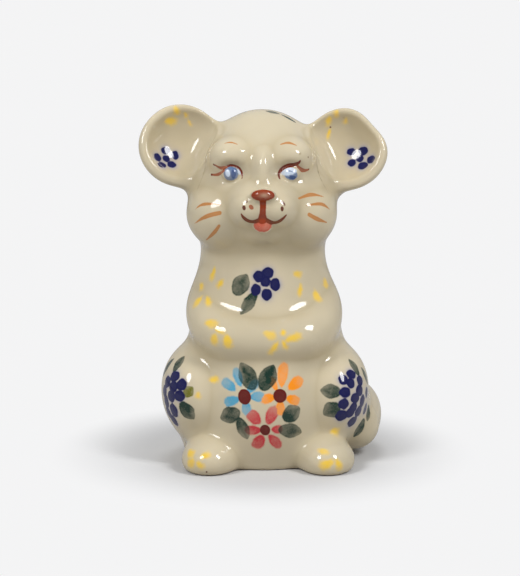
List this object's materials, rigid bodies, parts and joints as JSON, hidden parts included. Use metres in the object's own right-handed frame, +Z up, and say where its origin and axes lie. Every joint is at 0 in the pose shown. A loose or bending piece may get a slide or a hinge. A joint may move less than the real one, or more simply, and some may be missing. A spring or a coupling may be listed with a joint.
{
  "type": "mouse figurine",
  "caption": "Seated mouse ornament in glazed stoneware with dished round ears, folded arms and a curled tail, standing on a flat foot ring.",
  "frame": {"origin": "on the ground plane, under the middle of the figurine's bounding box", "axes": "+Z up; the mouse faces -Y; its own left side, where the tail lies, is +X"},
  "size_m": [0.0606, 0.0513, 0.0874],
  "materials": {
    "cream_glaze": "clear glossy glaze over stamped decoration",
    "nose_glaze": "brown underglaze colour under clear glaze",
    "tongue_glaze": "pink underglaze colour under clear glaze",
    "eye_glaze": "blue underglaze colour under clear glaze"
  },
  "bodies": {
    "root": {"torso": "cream_glaze", "head": "cream_glaze", "muzzle": "cream_glaze", "nose": "nose_glaze", "tongue": "tongue_glaze", "eye_left": "eye_glaze", "eye_right": "eye_glaze", "ear_left": "cream_glaze", "ear_right": "cream_glaze", "arm_left": "cream_glaze", "arm_right": "cream_glaze", "haunch_left": "cream_glaze", "haunch_right": "cream_glaze", "foot_left": "cream_glaze", "foot_right": "cream_glaze", "tail": "cream_glaze"}
  },
  "joints": []
}
